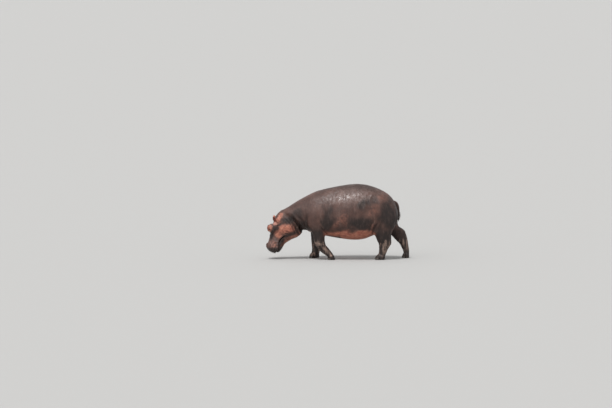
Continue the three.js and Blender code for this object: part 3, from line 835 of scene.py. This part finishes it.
# Beside the patches, the belly, the breast, the insides of the legs and the underside of the jaw are pink.
co = read_points(hide)
x, y, z = co.T
facing = normals_of(hide)
legs = leg_share(co)
on_head = head_share(co)
height, along = near_mouth(co)
lips = along * on_head * np.exp(-((height / 0.022) ** 2))
tip = on_head * ramp(z, 0.255, 0.195)
belly = ramp(z + 0.03 * drift(co, 0.25, 24), 0.63, 0.47)
belly = belly * ramp(x, -0.34, -0.22) * ramp(x, 0.76, 0.66) * (1 - legs)
breast = ramp(z, 0.60, 0.50) * ramp(z, 0.40, 0.46) * ramp(np.abs(y), 0.22, 0.14)
breast *= ramp(x, -0.64, -0.56) * ramp(x, -0.2, -0.3) * (1 - legs)
belly = np.maximum(belly, 0.8 * breast)
inner_leg = ramp(-facing[:, 1] * np.sign(y), 0.2, 0.7) * ramp(z, 0.30, 0.42)
inner_leg = inner_leg * ramp(z, 0.78, 0.6) * ramp(x, -0.68, -0.6)
under_jaw = on_head * ramp(-facing[:, 2], 0.3, 0.8) * ramp(x, -1.15, -1.05)
pink = np.maximum.reduce([painted_on(PINK), belly, 0.35 * inner_leg, 0.6 * under_jaw])

# The ears are pink, and darker within their cups. The bridge of the head and the forehead are not.
cups, on_ear = np.zeros(len(co)), np.zeros(len(co))
for local, share, outline in ears_local(co):
    leaf = ramp(np.abs(local[:, 1]), 0.062, 0.054) * ramp(share, 0.10, 0.30) * ramp(share, 1.15, 1.05)
    leaf *= ramp(np.abs(local[:, 0] + 0.01), 0.07, 0.05)
    front = -(local[:, 0] + EAR["cup"] * local[:, 1] ** 2 / (EAR["half"] ** 2 * outline))
    in_cup = leaf * ramp(front, 0.0, 0.004) * ramp(np.abs(local[:, 1]) / outline, 0.048, 0.036)
    cups = np.maximum(cups, in_cup)
    on_ear = np.maximum(on_ear, leaf)
top = on_head * ramp(np.abs(y), 0.135, 0.06) * ramp(in_head(co)[:, 2], 0.02, 0.08)
pink *= 1 - 0.75 * top
pink = np.maximum(pink, on_ear * 0.9)

# It darkens towards the feet, over the rump and along the back.
lower = 0.92 * ramp(z, 0.85, 0.42) * (1 - belly) * ramp(x, -0.66, -0.58)
dark = np.maximum.reduce([painted_on(DARK), lips, 0.95 * tip, lower])
dark = np.maximum(dark, 0.6 * ramp(x, 1.0, 1.15) * ramp(z, 0.6, 0.75)) * (1 - on_ear)
dark = np.maximum(dark, 0.6 * ramp(z, 1.22, 1.42))
dark *= 1 - 0.8 * belly
# The lower legs get pale streaks too, partly dried mud and partly painted sheen.
pale = np.maximum(painted_on(PALE_MUD_AND_SHEEN), 0.52 * legs * ramp(z, 0.46, 0.32) * ramp(z, 0.03, 0.10))
# Painted shade: the deeper a fold, the darker its bottom is painted, darkest at this depth.
DARKEST_FOLD = 0.010  # a fold this deep is darkest
keep_mask("pink", pink * (1 - 0.85 * np.maximum(lips, tip)))
keep_mask("dark", dark)
keep_mask("pale", pale)
# Light pink, and a painted highlight at the root of each ear.
keep_mask("rosy_and_highlight", painted_on(ROSY_AND_HIGHLIGHT) * (1 - top) * (1 - on_ear))
keep_mask("wet", painted_on(WET) * ramp(facing[:, 2], -0.2, 0.3))
# The painted shade in the folds, fainter near the eyes.
keep_mask("fold_shade", creases / DARKEST_FOLD * (1 - 0.6 * within(co, eyes, 0.07)))
keep_mask("ear_cup", cups)

damp_skin, tree, shader = material_of("living hide, bare and damp", ior=1.42)
place = add(tree, "ShaderNodeTexCoord", {}, out=3)
hanging = add(tree, "ShaderNodeMapping", {"Vector": place, "Scale": (1, 1, 0.22)})
mask = {
    name: add(tree, "ShaderNodeAttribute", {}, out=2, attribute_name=name)
    for name in ("pink", "dark", "pale", "rosy_and_highlight", "wet", "fold_shade", "ear_cup")
}

# Cloudy noise: name, where it lies, how many millimetres its patches are across, detail, roughness.
cloud = {}
for name, where, size_mm, detail, rough in [
    ("clouds", place, 260, 5.0, 0.6),
    ("blotches", place, 70, 6.0, 0.7),
    ("mottles", place, 38, 4.0, 0.6),
    ("specks", place, 16, 3.0, 0.6),
    ("lumps", place, 24, 4.0, 0.6),
    ("streaks", hanging, 42, 5.0, 0.65),
    ("wrinkles", hanging, 34, 3.0, 0.55),
]:
    sockets = {"Vector": where, "Scale": 1000 / size_mm, "Detail": detail, "Roughness": rough}
    cloud[name] = add(tree, "ShaderNodeTexNoise", sockets)

# Soft steps of it: name, which noise, from low to high, and what it gives there.
step = {}
for name, source, low, high, at_low, at_high in [
    ("browner", "clouds", 0.35, 0.65, 0.0, 1.0),
    ("lighter", "blotches", 0.42, 0.70, 0.0, 0.5),
    ("flushed", "blotches", 0.3, 0.7, 0.0, 1.0),
    ("freckled", "specks", 0.50, 0.75, 0.0, 0.45),
    ("mottled", "mottles", 0.30, 0.56, 0.55, 1.0),
    ("less dark in streaks", "streaks", 0.34, 0.60, 0.97, 0.86),
    ("muddy in blotches", "blotches", 0.36, 0.58, 0.42, 0.90),
    ("rosy in specks", "specks", 0.3, 0.7, 0.85, 0.60),
    ("greyed in streaks", "streaks", 0.50, 0.72, 0.0, 0.14),
    ("wet in streaks", "streaks", 0.36, 0.60, 0.0, 1.0),
    ("rough", "blotches", 0.3, 0.7, 0.42, 0.60),
    ("grained", "blotches", 0.35, 0.65, 0.04, 0.18),
]:
    sockets = {"Value": cloud[source], "From Min": low, "From Max": high, "To Min": at_low, "To Max": at_high}
    step[name] = add(tree, "ShaderNodeMapRange", sockets, interpolation_type="SMOOTHSTEP")


def ragged(value, noise, amount, low, high, faint):
    """A painted mask whose edge, from low to high, is broken up by noise. It ends where it is fainter."""
    worn = add(tree, "ShaderNodeMath", {0: noise, 1: 0.5}, operation="SUBTRACT")
    worn = add(tree, "ShaderNodeMath", {0: worn, 1: amount}, operation="MULTIPLY")
    worn = add(tree, "ShaderNodeMath", {0: value, 1: worn}, operation="ADD")
    sockets = {"Value": worn, "From Min": low, "From Max": high}
    edge = add(tree, "ShaderNodeMapRange", sockets, interpolation_type="SMOOTHSTEP")
    sockets = {"Value": value, "From Min": faint[0], "From Max": faint[1]}
    within_it = add(tree, "ShaderNodeMapRange", sockets, interpolation_type="SMOOTHSTEP")
    return add(tree, "ShaderNodeMath", {0: edge, 1: within_it}, operation="MULTIPLY")


# How much of each layer shows: name, where it lies, and by how much it is thinned there.
shown = {}
edges = {"low": 0.05, "high": 0.95, "faint": (0.02, 0.15)}
mud_and_sheen_edges = {"low": 0.40, "high": 1.12, "faint": (0.02, 0.5)}
for name, covers, thinned in [
    ("pink", ragged(mask["pink"], cloud["blotches"], 0.9, **edges), step["mottled"]),
    ("dark", ragged(mask["dark"], cloud["blotches"], 0.8, **edges), step["less dark in streaks"]),
    ("mud_and_sheen", ragged(mask["pale"], cloud["streaks"], 3.0, **mud_and_sheen_edges), step["muddy in blotches"]),
    ("rosy_and_highlight", ragged(mask["rosy_and_highlight"], cloud["blotches"], 0.9, **edges), step["rosy in specks"]),
    ("ear cup", mask["ear_cup"], 0.85),
    # painted shade in the folds
    ("fold_shade", mask["fold_shade"], 0.75),
    ("wet", mask["wet"], step["wet in streaks"]),
]:
    shown[name] = add(tree, "ShaderNodeMath", {0: covers, 1: thinned}, operation="MULTIPLY")
# A painted reflection of the sky greys the colour where the skin is wettest.
painted_sky_reflection = add(tree, "ShaderNodeMath", {0: shown["wet"], 1: mask["wet"]}, operation="MULTIPLY")
painted_sky_reflection = add(tree, "ShaderNodeMath", {0: painted_sky_reflection, 1: 0.24}, operation="MULTIPLY")

# Three of the layers are mottled in themselves: the grey-brown hide, the pink, and the pale layer of dried
# mud and painted sheen.
mixed = {}
for name, how_much, one, other in [
    ("brown", step["browner"], colour("#402b25"), colour("#5b4139")),
    ("pink", step["flushed"], colour("#96513f"), colour("#bf806a")),
    ("mud_and_sheen", cloud["specks"], colour("#7b655a"), colour("#ad9384")),
]:
    mixed[name] = add(tree, "ShaderNodeMix", {0: how_much, 6: one, 7: other}, out=2, data_type="RGBA")
sockets = {0: step["freckled"], 6: mixed["pink"], 7: colour("#7a4437")}
mixed["pink"] = add(tree, "ShaderNodeMix", sockets, out=2, data_type="RGBA")

skin = mixed["brown"]
for covers, layer in [
    (step["lighter"], colour("#5c4039")),
    (shown["pink"], mixed["pink"]),
    (shown["dark"], colour("#1d1614")),
    # pale layer: dried mud, partly painted sheen on the legs
    (shown["mud_and_sheen"], mixed["mud_and_sheen"]),
    # light pink, with a painted highlight at the root of each ear
    (shown["rosy_and_highlight"], colour("#e0a797")),
    (shown["ear cup"], colour("#5c231a")),
    # painted shade in the bottoms of the folds
    (shown["fold_shade"], colour("#2b1d19")),
    (step["greyed in streaks"], colour("#837069")),
    # painted reflection of the sky on the wet skin
    (painted_sky_reflection, colour("#9a8b86")),
]:
    skin = add(tree, "ShaderNodeMix", {0: covers, 6: skin, 7: layer}, out=2, data_type="RGBA")
tree.links.new(skin, shader.inputs["Base Color"])

# Wet skin is smooth and shiny; the pale layer of dried mud and painted sheen is dull.
smoother = add(tree, "ShaderNodeMath", {0: shown["wet"], 1: 0.28}, operation="MULTIPLY")
duller = add(tree, "ShaderNodeMath", {0: shown["mud_and_sheen"], 1: 0.2}, operation="MULTIPLY")
rough = add(tree, "ShaderNodeMath", {0: step["rough"], 1: smoother}, operation="SUBTRACT")
rough = add(tree, "ShaderNodeMath", {0: rough, 1: duller}, operation="ADD")
tree.links.new(rough, shader.inputs["Roughness"])

# Cracks part the skin into soft grains 6 mm across, coarser than the real ones so that they show. They lie
# over lumps 24 mm across, and over wrinkles and streaks that hang down, 34 and 42 mm apart.
swirl = add(tree, "ShaderNodeTexNoise", {"Vector": place, "Scale": 1000 / 30, "Detail": 2.0}, out=1)
warped = add(tree, "ShaderNodeMix", {0: 0.012, 4: place, 5: swirl}, out=1, data_type="VECTOR")
cracks = add(tree, "ShaderNodeTexVoronoi", {"Vector": warped, "Scale": 1000 / 6}, feature="DISTANCE_TO_EDGE")
sockets = {"Value": cracks, "From Min": 0.0, "From Max": 0.40}
grains = add(tree, "ShaderNodeMapRange", sockets, interpolation_type="SMOOTHSTEP")
wrinkles = add(tree, "ShaderNodeMath", {0: cloud["wrinkles"], 1: 0.5}, operation="SUBTRACT")
wrinkles = add(tree, "ShaderNodeMath", {0: wrinkles}, operation="ABSOLUTE")
sockets = {"Value": wrinkles, "From Min": 0.0, "From Max": 0.07}
wrinkles = add(tree, "ShaderNodeMapRange", sockets, interpolation_type="SMOOTHSTEP")
relief = add(tree, "ShaderNodeMath", {0: grains, 1: step["grained"]}, operation="MULTIPLY")
for shape, height in ((wrinkles, 0.30), (cloud["streaks"], 1.5), (cloud["lumps"], 0.8)):
    raised = add(tree, "ShaderNodeMath", {0: shape, 1: height}, operation="MULTIPLY")
    relief = add(tree, "ShaderNodeMath", {0: relief, 1: raised}, operation="ADD")
bump = add(tree, "ShaderNodeBump", {"Height": relief, "Strength": 0.55, "Distance": 0.006})
tree.links.new(bump, shader.inputs["Normal"])
hide.data.materials.clear()
hide.data.materials.append(damp_skin)
only(hide)
bpy.ops.object.shade_smooth()
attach(hide, "root")
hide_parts(*[n for n in FLESH if "nail" not in n and "eye" not in n], "ear_left", "ear_right", "tail")

# ---------- the eyes ----------
# Wet, dark brown eyeballs with a lens-shaped bulge at the front and a level slit for a pupil. Each lies free
# in its lids and looks out to its own side.


def eyeball(word, side, centre):
    """A ball whose front is drawn out a little, into the bulge over the iris."""
    radius = EYE["radius"]
    bpy.ops.object.select_all(action="DESELECT")
    bpy.ops.mesh.primitive_uv_sphere_add(segments=48, ring_count=32, radius=radius)
    ball = bpy.context.object
    ball.name = "eyeball_" + word
    co = read_points(ball)
    front = ramp(co[:, 2] / radius, 0.72, 1.0)
    co *= (1 + EYE["bulge"] * front)[:, None]
    gaze = Vector((GAZE * (1, side, 1)) @ HEAD_AXES).normalized()
    turn = np.array(gaze.to_track_quat("Z", "Y").to_matrix())
    write_points(ball, co @ turn.T + centre)
    bpy.ops.object.shade_smooth()
    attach(ball, "root")
    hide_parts("eye_" + word)
    return ball, gaze


PUPIL = {"long": 0.0090, "high": 0.0034}  # half sizes
IRIS_EDGE = (0.56, 0.64)  # how far ahead of the eyeball's middle it begins and is full, over the radius
for word, side, centre in zip(("left", "right"), (LEFT, RIGHT), eyes):
    ball, gaze = eyeball(word, side, centre)
    # A wet eyeball mirrors the sky sharply, over a dark brown iris with fine fibres.
    wet_eye, tree, shader = material_of("wet eyeball, " + word, roughness=0.06, ior=1.38)
    place = add(tree, "ShaderNodeTexCoord", {}, out=3)
    arm = add(tree, "ShaderNodeVectorMath", {0: place, 1: Vector(centre)}, operation="SUBTRACT")
    level = Vector(LID_LINE @ HEAD_AXES)
    level = (level - gaze * (level @ gaze)).normalized()
    ahead, aside, above = (
        add(tree, "ShaderNodeVectorMath", {0: arm, 1: way}, out=1, operation="DOT_PRODUCT")
        for way in (gaze, level, gaze.cross(level))
    )
    sockets = {"Vector": place, "Scale": 1000 / 2.5, "Detail": 3.0, "Roughness": 0.6}
    fibres = add(tree, "ShaderNodeTexNoise", sockets)
    sockets = {0: fibres, 6: colour("#180d07"), 7: colour("#3d2413")}
    iris = add(tree, "ShaderNodeMix", sockets, out=2, data_type="RGBA")
    radius = EYE["radius"]
    sockets = {"Value": ahead, "From Min": IRIS_EDGE[0] * radius, "From Max": IRIS_EDGE[1] * radius}
    in_iris = add(tree, "ShaderNodeMapRange", sockets, interpolation_type="SMOOTHSTEP")
    sockets = {0: in_iris, 6: colour("#3a2a22"), 7: iris}
    tint = add(tree, "ShaderNodeMix", sockets, out=2, data_type="RGBA")
    squares = []
    for off, half in ((aside, PUPIL["long"]), (above, PUPIL["high"])):
        ratio = add(tree, "ShaderNodeMath", {0: off, 1: half}, operation="DIVIDE")
        squares.append(add(tree, "ShaderNodeMath", {0: ratio, 1: 2.0}, operation="POWER"))
    oval = add(tree, "ShaderNodeMath", {0: squares[0], 1: squares[1]}, operation="ADD")
    sockets = {"Value": oval, "From Min": 1.1, "From Max": 0.8}
    slit = add(tree, "ShaderNodeMapRange", sockets, interpolation_type="SMOOTHSTEP")
    sockets = {"Value": ahead, "From Min": 0.4 * radius, "From Max": 0.5 * radius}
    in_front = add(tree, "ShaderNodeMapRange", sockets, interpolation_type="SMOOTHSTEP")
    pupil = add(tree, "ShaderNodeMath", {0: slit, 1: in_front}, operation="MULTIPLY")
    sockets = {0: pupil, 6: tint, 7: colour("#050403")}
    tint = add(tree, "ShaderNodeMix", sockets, out=2, data_type="RGBA")
    tree.links.new(tint, shader.inputs["Base Color"])
    ball.data.materials.append(wet_eye)

# ---------- the nails ----------
# Four blunt horn nails to a foot, like small hooves, each set in the front of a toe and worn flat below.

# Horn that wears on sand is matt and mottled, with faint rings where it grew.
horn, tree, shader = material_of("dull dark horn", ior=1.54)
place = add(tree, "ShaderNodeTexCoord", {}, out=3)
sockets = {"Vector": place, "Scale": 1000 / 9, "Detail": 4.0, "Roughness": 0.6}
grown = add(tree, "ShaderNodeTexNoise", sockets)
sockets = {0: grown, 6: colour("#241e1a"), 7: colour("#544840")}
tint = add(tree, "ShaderNodeMix", sockets, out=2, data_type="RGBA")
tree.links.new(tint, shader.inputs["Base Color"])
sockets = {"Value": grown, "From Min": 0.3, "From Max": 0.7, "To Min": 0.38, "To Max": 0.6}
rough = add(tree, "ShaderNodeMapRange", sockets, interpolation_type="SMOOTHSTEP")
tree.links.new(rough, shader.inputs["Roughness"])
sockets = {"Vector": place, "Scale": 60.0, "Distortion": 9.0}
ridges = add(tree, "ShaderNodeTexWave", sockets, bands_direction="Z")
bump = add(tree, "ShaderNodeBump", {"Height": ridges, "Strength": 0.12, "Distance": 0.001})
tree.links.new(bump, shader.inputs["Normal"])

BLUNT = 2.7  # the power of the nail's outline, between a ball's 2 and a box's
NARROWED = 0.10  # towards its top
SLOPED = 0.28  # back, towards its top
BOWED = 0.25  # round the toe
WORN_AT = 0.004  # height of its worn edge above the ground
bpy.ops.object.select_all(action="DESELECT")
bpy.ops.mesh.primitive_cube_add(size=2)
nail = bpy.context.object
apply_modifier(nail, "SUBSURF", levels=4, render_levels=4, subdivision_type="SIMPLE")
co = read_points(nail)
co /= ((np.abs(co) ** BLUNT).sum(1) ** (1 / BLUNT))[:, None]
co[:, 1] *= 1.0 - NARROWED * co[:, 2]
co[:, 0] += SLOPED * co[:, 2] + BOWED * co[:, 1] ** 2
write_points(nail, co * (NAIL["deep"], NAIL["wide"], NAIL["high"]))
for name, angle in NAILS:
    middle, c, s = set_in_toe(name, angle)
    piece = bpy.data.objects.new(name + "_horn", nail.data.copy())
    bpy.context.collection.objects.link(piece)
    co = read_points(nail)
    turned = np.column_stack([co[:, 0] * c - co[:, 1] * s, co[:, 0] * s + co[:, 1] * c, co[:, 2]])
    co = turned + middle
    co[:, 2] = np.maximum(co[:, 2], WORN_AT)
    write_points(piece, co)
    piece.data.materials.append(horn)
    only(piece)
    bpy.ops.object.shade_smooth()
    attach(piece, "root")
    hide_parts(name)
bpy.data.objects.remove(nail)

# ---------- the bristles ----------
# Stiff hairs about a millimetre thick, the only ones on the animal: short tufts over the lips and whisker
# pads, a fringe along the rims of the ears, and longer ones down both edges of the tail's flat tip.

# Coarse hair is a little glossy, dark brown with paler tufts.
bristle_hair, tree, shader = material_of("stiff bristles", ior=1.54)
place = add(tree, "ShaderNodeTexCoord", {}, out=3)
sockets = {"Vector": place, "Detail": 2.0, "Roughness": 0.6}
tufted, worn = (add(tree, "ShaderNodeTexNoise", sockets | {"Scale": 1000 / size_mm}) for size_mm in (20, 6))
sockets = {0: tufted, 6: colour("#1f1612"), 7: colour("#6b5646")}
tint = add(tree, "ShaderNodeMix", sockets, out=2, data_type="RGBA")
tree.links.new(tint, shader.inputs["Base Color"])
sockets = {"Value": worn, "From Min": 0.3, "From Max": 0.7, "To Min": 0.35, "To Max": 0.55}
rough = add(tree, "ShaderNodeMapRange", sockets, interpolation_type="SMOOTHSTEP")
tree.links.new(rough, shader.inputs["Roughness"])

STEM_SIDES = 5
STEM = [(0.0, 1.0), (0.35, 0.85), (0.70, 0.60), (1.0, 0.22)]  # share of the length, share of the thickness
PATCH = 0.003  # side of a tuft's patch on the unwrap
SCATTER = 0.0012  # how far the roots of a tuft lie apart
SUNK = 0.0015  # how deep they sit in the hide
ASIDE = (0.31, 0.87, 0.38)  # a direction that no hair follows
draw = np.random.default_rng(21)
skin_at, skin_out = read_points(hide), normals_of(hide)  # where the hairs stand


def spaced(wanted, apart):
    """Points of the hide, from those that `wanted` picks, no closer to each other than `apart`."""
    kept = np.empty((0, 3))
    chosen = []
    for i in draw.permutation(np.flatnonzero(wanted)):
        if not len(kept) or (np.linalg.norm(kept - skin_at[i], axis=1) > apart).all():
            kept = np.vstack([kept, skin_at[i]])
            chosen.append(i)
    return np.array(chosen)


def bristles(name, roots, lie, hairs, length, thick, spread, unwrap):
    """One mesh of tufts. Each hair leaves the hide, bends towards `lie` and tapers to a blunt point."""
    verts, faces, spots = [], [], []
    for root in roots:
        centre = 0.02 + 0.96 * np.asarray(unwrap(skin_at[root]))
        for _ in range(hairs):
            start = skin_at[root] + draw.normal(size=3) * SCATTER - SUNK * skin_out[root]
            out = skin_out[root] + 0.6 * np.asarray(lie(skin_at[root])) + spread * draw.normal(size=3)
            out /= np.linalg.norm(out)
            long = length * draw.uniform(0.6, 1.15)
            side = np.cross(out, ASIDE)
            side /= np.linalg.norm(side)
            other = np.cross(out, side)
            for share, girth in STEM:
                middle = start + long * share * out + long * share**2 * 0.45 * np.asarray(lie(skin_at[root]))
                for k in range(STEM_SIDES):
                    turn = 2 * math.pi * k / STEM_SIDES
                    outwards = math.cos(turn) * side + math.sin(turn) * other
                    verts.append(middle + thick / 2 * girth * outwards)
                    spots.append(centre + PATCH * np.array((k / STEM_SIDES - 0.5, share - 0.5)))
            base = len(verts) - STEM_SIDES * len(STEM)
            for ring in range(len(STEM) - 1):
                for k in range(STEM_SIDES):
                    a, b = base + ring * STEM_SIDES + k, base + ring * STEM_SIDES + (k + 1) % STEM_SIDES
                    faces.append((a, b, b + STEM_SIDES, a + STEM_SIDES))
            faces.append(tuple(range(base + STEM_SIDES - 1, base - 1, -1)))
            faces.append(tuple(range(len(verts) - STEM_SIDES, len(verts))))
    mesh = bpy.data.meshes.new(name)
    mesh.from_pydata(verts, [], faces)
    piece = bpy.data.objects.new(name, mesh)
    bpy.context.collection.objects.link(piece)
    corners = np.empty(len(mesh.loops), int)
    mesh.loops.foreach_get("vertex_index", corners)
    mesh.uv_layers.new(name="OFBake").data.foreach_set("uv", np.array(spots)[corners].ravel())
    mesh.materials.append(bristle_hair)
    only(piece)
    bpy.ops.object.shade_smooth()
    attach(piece, "root")


def round_head(at):
    """Places on the head's skin slit along the top and rolled flat: along the head, and round it."""
    x, y, z = in_head(at)
    return (x + 0.80) / 0.90, (math.atan2(y, -z - 0.03) / math.pi + 1) / 2


def round_tail(at):
    return (1.15 - at[2]) / 0.45, (math.atan2(at[1], at[0] - 1.13) / math.pi + 1) / 2


x, y, z = in_head(skin_at).T
height, along = near_mouth(skin_at)
pads = (x < -0.54) & (height > 0.012) & (z < 0.055) & (head_share(skin_at) > 0.5)
bristles("whiskers", spaced(pads, 0.023), lambda at: (0.2, 0, -1.0), 3, 0.013, 0.0010, 0.22, round_head)
chin = (x < -0.56) & (height < -0.012) & (head_share(skin_at) > 0.5)
bristles("chin_whiskers", spaced(chin, 0.026), lambda at: (0.7, 0, -0.4), 2, 0.011, 0.0010, 0.22, round_head)
rims = np.zeros(len(skin_at), bool)
for local, share, outline in ears_local(skin_at):
    edge = np.abs(local[:, 1]) / outline / EAR["half"]
    in_leaf = (share > 0.25) & (share < 1.1) & (np.abs(local[:, :2]) < 0.06).all(1)
    rims |= in_leaf & (edge > 0.86)
bristles("ear_hairs", spaced(rims, 0.004), lambda at: (0.0, 0, 0.3), 2, 0.010, 0.0009, 0.28, round_head)
x, y, z = skin_at.T
tip = (x > 1.05) & (z < 0.90) & (z > 0.71) & (np.abs(y) < 0.06)
edge = tip & (np.abs(skin_out[:, 1]) < 0.75) & (np.abs(skin_out[:, 0]) > 0.5)
bristles("tail_bristles", spaced(edge, 0.0065), lambda at: (0.0, 0, -1.0), 2, 0.032, 0.0012, 0.18, round_tail)

# ---------- the render's colour transform ---

bpy.context.scene.view_settings.view_transform = "Standard"
